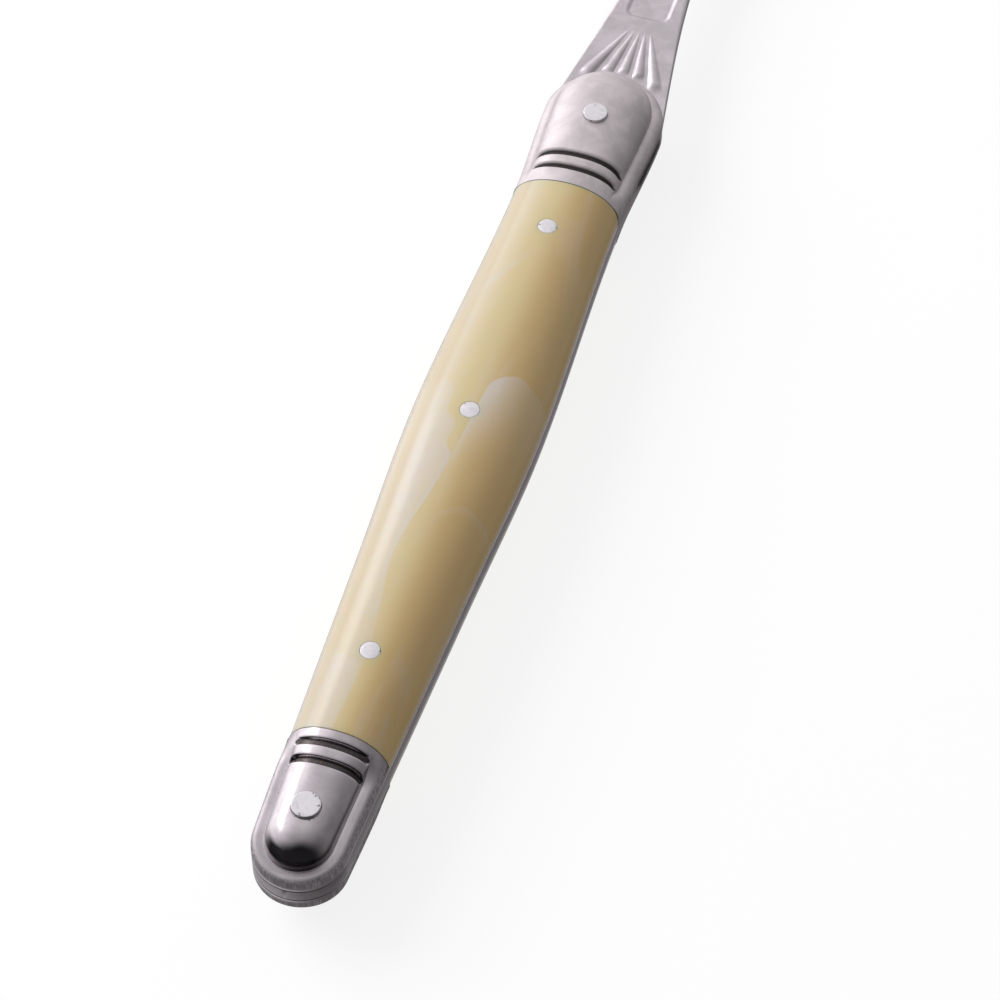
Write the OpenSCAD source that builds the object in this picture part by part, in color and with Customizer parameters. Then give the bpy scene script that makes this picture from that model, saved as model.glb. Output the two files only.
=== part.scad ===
// Handled bone folder: a one-piece steel folding blade and full tang, carrying a riveted grip
// of two moulded scales between two pairs of domed steel bolsters.

/* [Handle] */
// Length of the handle, from the round butt to the front of the front bolster
handle_len = 114; // [108:1:122]
// Width across the round butt
butt_w = 9.7; // [9:0.1:10.5]
// Width across the belly, the widest part of the grip
belly_w = 14.36; // [13.4:0.02:15.4]
// Width at the throat, where the scales end and the front bolster begins
throat_w = 12.5; // [11.8:0.1:13]
// Width across the shoulders of the front bolster
shoulder_w = 13.7; // [13.2:0.1:14.4]
// Thickness of the handle over the crown at the butt
butt_h = 11.4; // [11:0.1:12.2]
// Thickness of the handle over the crown at the belly
belly_h = 12.6; // [12.2:0.1:13.6]
// Thickness of the handle over the crown at the shoulders
shoulder_h = 11.1; // [10.4:0.1:12]

/* [Blade] */
// Length of blade and neck that stands out of the front bolster
blade_len = 89; // [80:1:105]
// Width of the folding blade
blade_w = 16; // [14:0.5:20]
// Width of the neck at its waist
waist_w = 7.1; // [6.4:0.1:8]
// Thickness of the tang and neck
tang_t = 1.6; // [1.4:0.1:2]
// Thickness of the flat blade
blade_t = 1.4; // [1.1:0.1:1.4]
// Thickness at the blunt tip
tip_t = 0.9; // [0.7:0.1:1.1]
// Length over which the tip rounds off
tip_len = 21; // [16:1:26]
// Depth of the sunk panel along the neck
panel_depth = 0.2; // [0.1:0.05:0.3]

/* [Bolsters] */
// Length of the rear bolster
rear_bolster_len = 16; // [15:0.5:19]
// Length of the front bolster
front_bolster_len = 21.5; // [20:0.5:25]
// Width of the sloping flange around each domed panel
flange_w = 1.3; // [1:0.05:1.6]
// Height of the upright wall at the foot of the flange
wall_h = 0.35; // [0.25:0.05:0.6]
// Rise of the front flange from that wall to the foot of the dome
front_flange_rise = 1.1; // [0.8:0.05:1.4]
// Rise of the rear flange from that wall to the foot of the dome
rear_flange_rise = 1.9; // [1.5:0.05:2.1]
// How far the domes lie below the crown of the scales
dome_drop = 0.1; // [0:0.05:0.3]
// Width of each groove filed across the domes
groove_w = 0.75; // [0.5:0.05:0.9]
// Depth of each groove
groove_depth = 0.5; // [0.3:0.05:0.7]
// Distance between the two grooves of a pair
groove_pitch = 2.1; // [1.8:0.1:2.4]

/* [Scales] */
// Height of the upright edge of each scale
edge_h = 0.4; // [0.3:0.1:0.8]
// How far the tang stands proud of the edge of the scales
tang_proud = 0.1; // [0.05:0.05:0.2]

/* [Pins] */
// Diameter of the pin through the front bolsters
front_pin_d = 2.75; // [2.4:0.05:3.2]
// Diameter of the pin through the rear bolsters
rear_pin_d = 3.0; // [2.6:0.1:3.4]
// Diameter of the three pins through the scales
scale_pin_d = 2.1; // [1.8:0.1:2.6]
// How far the bolster pins stand proud of the domes
pin_proud = 0.3; // [0.1:0.05:0.4]
// Radial gap between each pin and its bore
pin_gap = 0.01; // [0.01:0.01:0.03]

/* [Hidden] */
$fn = 64;

steel = [0.74, 0.73, 0.74];
polished_steel = [0.66, 0.65, 0.68];
pin_steel = [0.85, 0.85, 0.87];
acrylic = [0.79, 0.71, 0.53];

total_len = handle_len + blade_len;
half_tang = tang_t / 2;

// Slope of the straight flanks that run forward from the butt, and of the neck at the shoulders
flank_slope = 0.042;
neck_slope = -0.148;
flank_angle = atan(flank_slope);

// Centres of the round butt and of the round front of the front bolster
butt_r = butt_w / 2;
butt_x = butt_r;
shoulder_r = shoulder_w / 2;
shoulder_x = handle_len - shoulder_r;

// Stations along the handle, measured from the butt
flank_start = butt_x - butt_r * sin(flank_angle);
flank_end = 0.34 * handle_len;
belly_x = 0.53 * handle_len;
rear_joint = rear_bolster_len;
front_joint = handle_len - front_bolster_len;

// Stations along the neck and blade: the waist, the end of the flare and the start of the tip,
// and the taper in thickness from the neck to the blade
waist_x = shoulder_x + 30;
flare_end = waist_x + 26;
tip_x = total_len - tip_len;
taper_start = waist_x + 12;
taper_end = waist_x + 22;

// Pins through the bolsters, then front, middle and rear pin of the scales
rear_pin_x = butt_x + 2.1;
front_pin_x = shoulder_x - 3.3;
scale_pin_x = [
    front_joint - 6.9,
    rear_joint + 0.55 * (front_joint - rear_joint),
    rear_joint + 10
];
scale_pin_sink = 0.03;

// First groove of each pair, counted from the joint with the scales
rear_groove_x = rear_joint - 1.55;
front_groove_x = front_joint + 2.75;

// Panel sunk into the neck, with rounded corners at its near end and a round far end
panel_start = shoulder_x + 17.4;
panel_end = waist_x + 12;
panel_w = 5.4;
panel_corner = 1.2;

// Ornament on the neck: a fan of tapering flutes that spreads towards the bolster
fan_flutes = 5;
fan_spread = 9.5;
fan_x = shoulder_x + 19;
fan_near = 2.5;
fan_sink = 0.15;
fan_gap = 0.9;

// Radius of each flute, and the rise of its ridge, per millimetre from the fan's centre
fan_cone = 0.085;
fan_rise = 0.04;

// Each knot is [x, value, slope]; the curve between two knots is a cubic
grip_knots = [
    [flank_start, butt_r * cos(flank_angle), flank_slope],
    [flank_end, butt_r * cos(flank_angle) + flank_slope * (flank_end - flank_start), flank_slope],
    [belly_x, belly_w / 2, 0],
    [front_joint, throat_w / 2, 0],
    [shoulder_x, shoulder_r, 0]
];
neck_knots = [
    [shoulder_x, shoulder_r, neck_slope],
    [waist_x, waist_w / 2, 0],
    [flare_end, blade_w / 2, 0],
    [tip_x, blade_w / 2, 0]
];
crown_knots = [
    [butt_x, butt_h / 2, 0],
    [belly_x, belly_h / 2, 0],
    [shoulder_x, shoulder_h / 2, 0]
];

// Squareness of the crowned sections and of the flanges: 2 is an ellipse, more is squarer
dome_power = 2.3;
scale_power = 2.1;
front_flange_power = 2;
rear_flange_power = 5;

// Angle up the dome of its last ring, which closes the dome along its spine
dome_end = 84;

// Numbers of facets
side_steps = 8;
arc_steps = 28;
flange_steps = 6;
dome_steps = 8;
scale_steps = 18;
crown_steps = 20;
outline_steps = 90;
tip_steps = 30;

// Height of the crease between flange and dome. It rises to the surface of the scales at the
// joint, and the rear one falls away round the butt
wall_z = half_tang + wall_h;
crease_drop = 0.1;
crease_run = 4;
butt_fall = 0.6;
front_crease_knots = [
    [front_joint, scale_z(front_joint, grip_half(front_joint) - flange_w) - crease_drop, -0.7],
    [front_joint + crease_run, wall_z + front_flange_rise, 0],
    [handle_len, wall_z + front_flange_rise, 0]
];
rear_crease_knots = [
    [0, wall_z + rear_flange_rise - butt_fall, 0.1],
    [rear_joint - crease_run, wall_z + rear_flange_rise, 0],
    [rear_joint, scale_z(rear_joint, grip_half(rear_joint) - flange_w) - crease_drop, 0.5]
];

// Value at x of the cubic between knots a and b
function cubic(a, b, x) =
    let (h = b[0] - a[0], t = (x - a[0]) / h)
    (1 - t) * (1 - t) * ((1 + 2 * t) * a[1] + t * h * a[2])
    + t * t * ((3 - 2 * t) * b[1] + (t - 1) * h * b[2]);

// Value at x of the curve through a list of knots
function curve(knots, x, i = 0) =
    i >= len(knots) - 2 || x <= knots[i + 1][0]
        ? cubic(knots[i], knots[i + 1], x)
        : curve(knots, x, i + 1);

// Half width of the grip, and of the neck and blade
function grip_half(x) = curve(grip_knots, x);
function neck_half(x) = curve(neck_knots, x);

// Height of the crown above the middle plane
function crown(x) = curve(crown_knots, x);

// Point at angle a on a squared-off ellipse
function squircle(a, half_w, rise, power) = [
    sign(cos(a)) * pow(abs(cos(a)), 2 / power) * half_w,
    pow(abs(sin(a)), 2 / power) * rise
];

// Height of a scale's crowned surface at x and y
function scale_z(x, y) =
    let (
        foot_z = half_tang + edge_h,
        share = abs(y) / (grip_half(x) - tang_proud)
    )
    foot_z + (crown(x) - foot_z) * pow(1 - pow(share, scale_power), 1 / scale_power);

// Origin at the bottom centre of the whole folder, lying on its lower scale
module placed() {
    translate([-total_len / 2, 0, belly_h / 2])
        children();
}

// Triangles across a ring of n points that is its own mirror image, strip by strip
function cap(n, start) = [
    for (j = [0:floor((n - 1) / 2) - 1])
        let (far = n - 1 - j)
        each concat(
            [[start + j, start + j + 1, start + far]],
            far - 1 > j + 1 ? [[start + j + 1, start + far - 1, start + far]] : []
        )
];

// Skin over a list of closed rings that have the same number of points
module loft(rings) {
    n = len(rings[0]);
    last = len(rings) - 1;
    sides = [
        for (i = [0:last - 1], j = [0:n - 1])
            let (k = (j + 1) % n)
            each [
                [i * n + j, i * n + k, (i + 1) * n + k],
                [i * n + j, (i + 1) * n + k, (i + 1) * n + j]
            ]
    ];
    first_cap = [for (t = cap(n, 0)) [t[2], t[1], t[0]]];
    polyhedron([for (ring = rings) each ring], concat(first_cap, sides, cap(n, last * n)));
}

// Clearance bore for a pin at x
module bore(x, d) {
    translate([x, 0, -belly_h])
        cylinder(h = 2 * belly_h, d = d + 2 * pin_gap);
}

module pin(x, d, half_h) {
    translate([x, 0, -half_h])
        cylinder(h = 2 * half_h, d = d);
}

// Outline of the tang, neck and blade, from the butt round to the tip and back
function blank_edge() = concat(
    [
        for (i = [0:outline_steps])
            let (x = flank_start + (shoulder_x - flank_start) * i / outline_steps)
            [x, grip_half(x)]
    ],
    [
        for (i = [1:outline_steps])
            let (x = shoulder_x + (tip_x - shoulder_x) * i / outline_steps)
            [x, neck_half(x)]
    ],
    [
        for (i = [1:tip_steps - 1])
            let (a = 90 * i / tip_steps)
            [tip_x + tip_len * sin(a), blade_w / 2 * cos(a)]
    ]
);

module blank_plan() {
    edge = blank_edge();
    last = len(edge) - 1;
    turn = 90 - flank_angle;
    butt = [
        for (i = [1:arc_steps - 1])
            let (a = 2 * turn * i / arc_steps - turn)
            [butt_x - butt_r * cos(a), butt_r * sin(a)]
    ];
    polygon(concat(
        butt,
        edge,
        [[total_len, 0]],
        [for (i = [last:-1:0]) [edge[i][0], -edge[i][1]]]
    ));
}

// Side view of the blank: full thickness to the neck, then a thinner blade with a blunt tip
module blank_side() {
    half = [
        [-1, half_tang],
        [taper_start, half_tang],
        [taper_end, blade_t / 2],
        [tip_x, blade_t / 2],
        [total_len, tip_t / 2]
    ];
    polygon(concat(half, [for (i = [len(half) - 1:-1:0]) [half[i][0], -half[i][1]]]));
}

// Cutter for the panel sunk into the upper face of the neck
module neck_panel() {
    corner_x = panel_start + panel_corner;
    corner_y = panel_w / 2 - panel_corner;
    translate([0, 0, half_tang - panel_depth])
        linear_extrude(2 * panel_depth)
            union() {
                translate([corner_x, -panel_w / 2])
                    square([panel_end - corner_x, panel_w]);
                translate([panel_start, -corner_y])
                    square([2 * panel_corner, 2 * corner_y]);
                for (side = [-1, 1])
                    translate([corner_x, side * corner_y])
                        circle(r = panel_corner);
                translate([panel_end, 0])
                    circle(r = panel_w / 2);
            }
}

// Flutes of the fan, each a cone lying in the upper face so that its ridge rises towards the
// bolster and its wide end stops short of the bolster's round front
module neck_fan() {
    reach = fan_x - shoulder_x;
    rim = shoulder_r + fan_gap;
    for (i = [0:fan_flutes - 1]) {
        a = (i - (fan_flutes - 1) / 2) * fan_spread;
        far = reach * cos(a) - sqrt(rim * rim - pow(reach * sin(a), 2));
        translate([fan_x, 0, half_tang - fan_sink])
            rotate([0, 90 + asin(fan_cone - fan_rise), 180 + a])
                translate([0, 0, fan_near])
                    cylinder(h = far - fan_near, r1 = fan_near * fan_cone, r2 = far * fan_cone);
    }
}

module blade_and_tang() {
    color(steel)
        placed()
            difference() {
                union() {
                    intersection() {
                        translate([0, 0, -half_tang])
                            linear_extrude(tang_t)
                                blank_plan();
                        translate([0, belly_w, 0])
                            rotate([90, 0, 0])
                                linear_extrude(2 * belly_w)
                                    blank_side();
                    }
                    neck_fan();
                }
                neck_panel();
                bore(front_pin_x, front_pin_d);
                bore(rear_pin_x, rear_pin_d);
                for (x = scale_pin_x)
                    bore(x, scale_pin_d);
            }
}

// Outer edge of a bolster as [x, y, spine x], from one end of its joint round to the other
function bolster_edge(joint_x, centre_x, dir, angle) =
    let (
        r = dir > 0 ? shoulder_r : butt_r,
        turn = 90 - angle,
        end_x = centre_x + dir * r * cos(turn),
        side = [
            for (i = [0:side_steps])
                let (x = joint_x + (end_x - joint_x) * i / side_steps)
                [x, grip_half(x), dir * min(dir * x, dir * centre_x)]
        ]
    )
    concat(
        side,
        [
            for (i = [1:arc_steps - 1])
                let (a = turn - 2 * turn * i / arc_steps)
                [centre_x + dir * r * cos(a), r * sin(a), centre_x]
        ],
        [for (i = [side_steps:-1:0]) [side[i][0], -side[i][1], side[i][2]]]
    );

// The same edge drawn in towards the spine, by the flange first and then by a share of the
// dome. Its height is base, plus a share of the flange's climb to the crease and of the dome's lift
function bolster_ring(edge, crease_knots, top_z, inset, share, base, climb, lift) = [
    for (p = edge)
        let (
            reach = norm([p[0] - p[2], p[1]]),
            f = (reach - inset) * share / reach,
            crease_z = curve(crease_knots, p[0])
        )
        [
            p[2] + (p[0] - p[2]) * f,
            p[1] * f,
            base + climb * (crease_z - wall_z) + lift * (top_z - crease_z)
        ]
];

// One bolster: upright wall, rounded flange, domed panel, two filed grooves and a pin bore
module bolster(joint_x, centre_x, dir, angle, crease_knots, flange_power, grooves, pin_x, pin_d) {
    edge = bolster_edge(joint_x, centre_x, dir, angle);
    top_z = crown(pin_x) - dome_drop;
    wall = [
        for (z = [half_tang, wall_z])
            bolster_ring(edge, crease_knots, top_z, 0, 1, z, 0, 0)
    ];
    flange = [
        for (i = [1:flange_steps])
            let (p = squircle(90 * i / flange_steps, 1, 1, flange_power))
            bolster_ring(edge, crease_knots, top_z, flange_w * (1 - p[0]), 1, wall_z, p[1], 0)
    ];
    dome = [
        for (i = [1:dome_steps])
            let (p = squircle(dome_end * i / dome_steps, 1, 1, dome_power))
            bolster_ring(edge, crease_knots, top_z, flange_w, p[0], wall_z, 1, p[1])
    ];
    difference() {
        loft(dir > 0 ? concat(wall, flange, dome) : [
            for (ring = concat(wall, flange, dome)) [for (i = [len(ring) - 1:-1:0]) ring[i]]
        ]);
        for (x = grooves)
            groove(x, grip_half(x) - flange_w, curve(crease_knots, x), top_z);
        bore(pin_x, pin_d);
    }
}

// Cutter that follows the dome at a constant depth
module groove(x, half_w, foot_z, top_z) {
    inner = [
        for (i = [0:crown_steps])
            squircle(180 * i / crown_steps, half_w - groove_depth, top_z - foot_z - groove_depth,
                dome_power)
    ];
    translate([x - groove_w / 2, 0, foot_z])
        rotate([90, 0, 90])
            linear_extrude(groove_w)
                difference() {
                    translate([-half_w - groove_depth / 2, 0])
                        square([2 * half_w + groove_depth, top_z]);
                    polygon(inner);
                }
}

module front_bolster() {
    bolster(front_joint, shoulder_x, 1, 0, front_crease_knots, front_flange_power,
        [front_groove_x, front_groove_x + groove_pitch], front_pin_x, front_pin_d);
}

module rear_bolster() {
    bolster(rear_joint, butt_x, -1, flank_angle, rear_crease_knots, rear_flange_power,
        [rear_groove_x, rear_groove_x - groove_pitch], rear_pin_x, rear_pin_d);
}

module front_bolster_upper() {
    color(polished_steel)
        placed()
            front_bolster();
}

module front_bolster_lower() {
    color(polished_steel)
        placed()
            mirror([0, 0, 1])
                front_bolster();
}

module rear_bolster_upper() {
    color(polished_steel)
        placed()
            rear_bolster();
}

module rear_bolster_lower() {
    color(polished_steel)
        placed()
            mirror([0, 0, 1])
                rear_bolster();
}

// Section of a scale at x: upright edges under a crowned top
function scale_ring(x) =
    let (
        half_w = grip_half(x) - tang_proud,
        foot_z = half_tang + edge_h
    )
    concat(
        [[x, half_w, half_tang]],
        [
            for (i = [0:crown_steps])
                let (p = squircle(180 * i / crown_steps, half_w, crown(x) - foot_z, scale_power))
                [x, p[0], foot_z + p[1]]
        ],
        [[x, -half_w, half_tang]]
    );

module scale_body() {
    difference() {
        loft([
            for (i = [0:scale_steps])
                scale_ring(front_joint + (rear_joint - front_joint) * i / scale_steps)
        ]);
        for (x = scale_pin_x)
            bore(x, scale_pin_d);
    }
}

module scale_upper() {
    color(acrylic)
        placed()
            scale_body();
}

module scale_lower() {
    color(acrylic)
        placed()
            mirror([0, 0, 1])
                scale_body();
}

module front_bolster_pin() {
    color(pin_steel)
        placed()
            pin(front_pin_x, front_pin_d, crown(front_pin_x) - dome_drop + pin_proud);
}

module rear_bolster_pin() {
    color(pin_steel)
        placed()
            pin(rear_pin_x, rear_pin_d, crown(rear_pin_x) - dome_drop + pin_proud);
}

module scale_pin(i) {
    color(pin_steel)
        placed()
            pin(scale_pin_x[i], scale_pin_d, crown(scale_pin_x[i]) - scale_pin_sink);
}

module scale_pin_front() { scale_pin(0); }
module scale_pin_middle() { scale_pin(1); }
module scale_pin_rear() { scale_pin(2); }

blade_and_tang();
front_bolster_upper();
front_bolster_lower();
rear_bolster_upper();
rear_bolster_lower();
scale_upper();
scale_lower();
front_bolster_pin();
rear_bolster_pin();
scale_pin_front();
scale_pin_middle();
scale_pin_rear();
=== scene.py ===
import math

import bmesh
import bpy
import numpy as np
from mathutils import Matrix, Vector

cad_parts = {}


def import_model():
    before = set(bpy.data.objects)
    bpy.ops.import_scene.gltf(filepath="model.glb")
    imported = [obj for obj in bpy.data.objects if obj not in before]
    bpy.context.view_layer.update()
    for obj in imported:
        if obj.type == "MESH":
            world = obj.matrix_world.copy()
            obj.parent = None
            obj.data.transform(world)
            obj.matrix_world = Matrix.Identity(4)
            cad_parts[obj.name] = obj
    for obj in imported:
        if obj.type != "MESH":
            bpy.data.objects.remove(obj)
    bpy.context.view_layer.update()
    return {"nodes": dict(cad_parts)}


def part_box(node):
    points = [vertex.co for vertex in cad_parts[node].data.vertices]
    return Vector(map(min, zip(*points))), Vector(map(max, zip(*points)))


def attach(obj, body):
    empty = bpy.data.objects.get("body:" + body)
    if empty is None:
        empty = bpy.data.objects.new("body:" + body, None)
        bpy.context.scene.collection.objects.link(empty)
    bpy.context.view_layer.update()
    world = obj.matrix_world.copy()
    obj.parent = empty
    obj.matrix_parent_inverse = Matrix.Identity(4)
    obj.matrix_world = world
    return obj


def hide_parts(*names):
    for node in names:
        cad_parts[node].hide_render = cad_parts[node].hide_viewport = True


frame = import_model()

# Shapes are worked out in millimetres, with x measured from the butt and z from the middle of
# the tang, and put into the frame by to_frame().
MM = 0.001


# ---------------------------------------------------------------- sizes read from the frame

def box_mm(node):
    """Lowest and highest corner of a CAD node, in millimetres."""
    low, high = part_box(node)
    return np.array(low) / MM, np.array(high) / MM


def half_width_at(node, x):
    """Half width of a CAD node where its own vertices stand at x, measured from the butt."""
    points = np.array([v.co for v in frame["nodes"][node].data.vertices]) / MM
    near = np.abs(points[:, 0] - BUTT_AT - x) < 0.05
    return points[near, 1].max()


blank_low, blank_high = box_mm("blade_and_tang")
front_low, front_high = box_mm("front_bolster_upper")
_, rear_high = box_mm("rear_bolster_upper")
scale_low, scale_high = box_mm("scale_upper")
_, under_high = box_mm("scale_lower")

BUTT_AT = blank_low[0]
MIDDLE_AT = (scale_low[2] + under_high[2]) / 2
HALF_TANG = (scale_low[2] - under_high[2]) / 2
TOTAL = blank_high[0] - BUTT_AT
BLADE_HALF = blank_high[1]
REAR_JOINT = rear_high[0] - BUTT_AT
FRONT_JOINT = front_low[0] - BUTT_AT
SHOULDER_R = front_high[1]
SHOULDER_X = front_high[0] - BUTT_AT - SHOULDER_R
THROAT_HALF = half_width_at("front_bolster_upper", FRONT_JOINT)
CROWN_BELLY = scale_high[2] - MIDDLE_AT
REAR_TOP = rear_high[2] - MIDDLE_AT
FRONT_TOP = front_high[2] - MIDDLE_AT
SCALE_INSET = 0.1
BELLY_HALF = scale_high[1] + SCALE_INSET

# The flanks run forward from the round butt in straight lines of this slope
FLANK_SLOPE = 0.042
FLANK_SIN = math.sin(math.atan(FLANK_SLOPE))
FLANK_COS = math.cos(math.atan(FLANK_SLOPE))
BUTT_R = (rear_high[1] - FLANK_SLOPE * REAR_JOINT) / (FLANK_COS - FLANK_SLOPE * (1 - FLANK_SIN))
FLANK_START = BUTT_R * (1 - FLANK_SIN)

# Stations that the boxes don't give
HANDLE = SHOULDER_X + SHOULDER_R
FLANK_END = 0.34 * HANDLE
BELLY_X = 0.53 * HANDLE
WAIST_X = SHOULDER_X + 30
WAIST_HALF = 3.55
FLARE_END = WAIST_X + 26
TIP_LEN = 21
TIP_X = TOTAL - TIP_LEN
NECK_SLOPE = -0.148
CROWN_BUTT = 5.7
CROWN_SHOULDER = 5.55

GRIP_KNOTS = [
    (FLANK_START, BUTT_R * FLANK_COS, FLANK_SLOPE),
    (FLANK_END, BUTT_R * FLANK_COS + FLANK_SLOPE * (FLANK_END - FLANK_START), FLANK_SLOPE),
    (BELLY_X, BELLY_HALF, 0),
    (FRONT_JOINT, THROAT_HALF, 0),
    (SHOULDER_X, SHOULDER_R, 0),
]
NECK_KNOTS = [
    (SHOULDER_X, SHOULDER_R, NECK_SLOPE),
    (WAIST_X, WAIST_HALF, 0),
    (FLARE_END, BLADE_HALF, 0),
    (TIP_X, BLADE_HALF, 0),
]
CROWN_KNOTS = [
    (BUTT_R, CROWN_BUTT, 0),
    (BELLY_X, CROWN_BELLY, 0),
    (SHOULDER_X, CROWN_SHOULDER, 0),
]


# ---------------------------------------------------------------- curves

def curve(knots, x):
    """Value at x of the cubics through knots of (x, value, slope)."""
    x = np.clip(np.asarray(x, float), knots[0][0], knots[-1][0])
    value = np.zeros_like(x)
    for (x0, v0, s0), (x1, v1, s1) in zip(knots, knots[1:]):
        h = x1 - x0
        t = (x - x0) / h
        piece = (1 - t) ** 2 * ((1 + 2 * t) * v0 + t * h * s0)
        piece = piece + t ** 2 * ((3 - 2 * t) * v1 + (t - 1) * h * s1)
        value = np.where((x >= x0) & (x <= x1), piece, value)
    return value


def smooth(a, b, x):
    """0 below a, 1 above b, and a smooth step between them."""
    t = np.clip((np.asarray(x, float) - a) / (b - a), 0, 1)
    return t * t * (3 - 2 * t)


def half_width(x):
    """Half width of the tang, neck and blade, round ends included."""
    x = np.asarray(x, float)
    butt = np.sqrt(np.maximum(BUTT_R ** 2 - (BUTT_R - np.minimum(x, BUTT_R)) ** 2, 0))
    tip = BLADE_HALF * np.sqrt(np.maximum(1 - ((np.maximum(x, TIP_X) - TIP_X) / TIP_LEN) ** 2, 0))
    w = np.where(x < SHOULDER_X, curve(GRIP_KNOTS, x), curve(NECK_KNOTS, x))
    w = np.where(x < FLANK_START, butt, w)
    return np.where(x > TIP_X, tip, w)


def stations(a, b, apart, closer=()):
    """Places from a to b: `apart` from each other, and closer round each (centre, reach, gap)."""
    x = np.linspace(a, b, 6001)
    density = np.full_like(x, 1 / apart)
    for centre, reach, gap in closer:
        density = np.maximum(density, np.exp(-(((x - centre) / reach) ** 4)) / gap)
    total = np.concatenate([[0], np.cumsum((density[1:] + density[:-1]) / 2 * np.diff(x))])
    return np.interp(np.linspace(0, total[-1], int(total[-1]) + 2), total, x)


def edge_break(distance, radius):
    """How far a broken edge of this radius falls back at a distance from the edge."""
    return radius - np.sqrt(radius ** 2 - np.maximum(radius - distance, 0) ** 2)


# ---------------------------------------------------------------- meshes

SHARP_ANGLE = math.radians(40)
BORE_SEGMENTS = 72
BORE_REACH = 20


def to_frame(points):
    """Points in millimetres from the butt and the tang's middle, as metres in the frame."""
    return (np.asarray(points, float) + [BUTT_AT, 0, MIDDLE_AT]) * MM


def cap(count, start):
    """Quads across a ring that is its own mirror image, strip by strip."""
    last = start + count - 1
    quads = []
    for j in range((count - 1) // 2):
        a, b, c, d = start + j, start + j + 1, last - j - 1, last - j
        quads.append((a, b, c, d) if b < c else (a, b, d))
    return quads


def add_object(name, data, material=None):
    """An object in the scene from a mesh and its material, a light or a camera."""
    if material:
        data.materials.append(material)
    made = bpy.data.objects.new(name, data)
    bpy.context.scene.collection.objects.link(made)
    return made


def make_piece(name, points, faces, material, replaces, layers=None):
    """An object from points in millimetres, riding on the root body in place of its CAD node."""
    mesh = bpy.data.meshes.new(name)
    mesh.from_pydata(to_frame(points).tolist(), [], faces)
    for layer, values in (layers or {}).items():
        attribute = mesh.attributes.new(layer, "FLOAT", "POINT")
        attribute.data.foreach_set("value", np.asarray(values, np.float32).ravel())
    work = bmesh.new()
    work.from_mesh(mesh)
    bmesh.ops.recalc_face_normals(work, faces=work.faces)
    work.to_mesh(mesh)
    work.free()
    mesh.shade_smooth()
    mesh.set_sharp_from_angle(angle=SHARP_ANGLE)
    piece = add_object(name, mesh, material)
    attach(piece, "root")
    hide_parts(replaces)
    return piece


def loft(rings):
    """Points and faces of a skin over closed rings, with a cap at each end."""
    count, size = rings.shape[:2]
    i, j = np.meshgrid(np.arange(count - 1), np.arange(size), indexing="ij")
    k = (j + 1) % size
    sides = np.stack([i * size + j, i * size + k, (i + 1) * size + k, (i + 1) * size + j], -1)
    faces = sides.reshape(-1, 4).tolist()
    return rings.reshape(-1, 3), faces + cap(size, 0) + cap(size, (count - 1) * size)


def drill(piece, x, radius):
    """A clean round bore through a piece, at x from the butt."""
    n = BORE_SEGMENTS
    angle = np.linspace(0, 2 * np.pi, n, endpoint=False)
    ring = np.stack([x + radius * np.cos(angle), radius * np.sin(angle), np.zeros(n)], -1)
    points = np.concatenate([ring - [0, 0, BORE_REACH], ring + [0, 0, BORE_REACH]])
    sides = [(i, (i + 1) % n, n + (i + 1) % n, n + i) for i in range(n)]
    ends = [tuple(range(n))[::-1], tuple(range(n, 2 * n))]
    mesh = bpy.data.meshes.new("bore")
    mesh.from_pydata(to_frame(points).tolist(), [], sides + ends)
    tool = add_object("bore", mesh)
    cut = piece.modifiers.new("bore", "BOOLEAN")
    cut.operation, cut.solver, cut.object = "DIFFERENCE", "EXACT", tool
    bpy.context.view_layer.update()
    graph = bpy.context.evaluated_depsgraph_get()
    drilled = bpy.data.meshes.new_from_object(piece.evaluated_get(graph))
    piece.modifiers.clear()
    piece.data = drilled
    bpy.data.objects.remove(tool)


def mirrored(points, side):
    """Points of an upper piece, turned over for the lower one when side is -1."""
    return points * [1, 1, side]


# ---------------------------------------------------------------- node trees

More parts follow.
